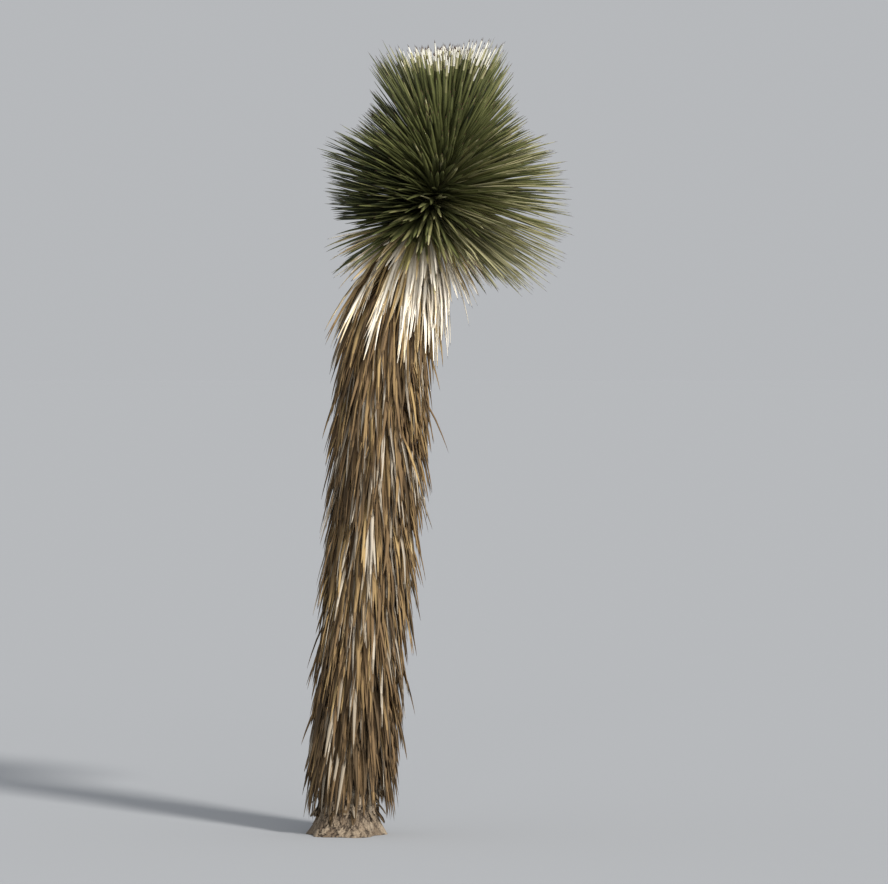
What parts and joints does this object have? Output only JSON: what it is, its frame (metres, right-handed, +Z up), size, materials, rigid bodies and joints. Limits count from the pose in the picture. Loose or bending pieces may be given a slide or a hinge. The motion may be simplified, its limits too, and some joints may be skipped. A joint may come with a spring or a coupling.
{
  "type": "joshua tree",
  "caption": "Young unbranched Joshua tree: a leaning stem clad in hanging dead leaves under a round head of stiff dagger leaves, cut flat at ground level.",
  "frame": {"origin": "middle of the flat cut under the trunk, at ground level", "axes": "+Z up; +X to the side that the stem leans to; -Y towards the viewer"},
  "size_m": [0.8193, 0.7868, 2.3213],
  "materials": {
    "bark": "rough corky bark",
    "new_leaf": "waxy young leaf",
    "green_leaf": "waxy leaf",
    "old_leaf": "satin leaf",
    "fading_leaf": "dry leaf",
    "straw_leaf": "dry straw",
    "dead_leaf": "weathered dry leaf"
  },
  "bodies": {
    "root": {"trunk": "bark", "crown_crest": "new_leaf", "crown_upper": "green_leaf", "crown_middle": "green_leaf", "crown_lower": "old_leaf", "fading_ring": "fading_leaf", "straw_skirt": "straw_leaf", "thatch_tier_1": "dead_leaf", "thatch_tier_2": "dead_leaf", "thatch_tier_3": "dead_leaf", "thatch_tier_4": "dead_leaf", "thatch_tier_5": "dead_leaf"}
  },
  "joints": []
}
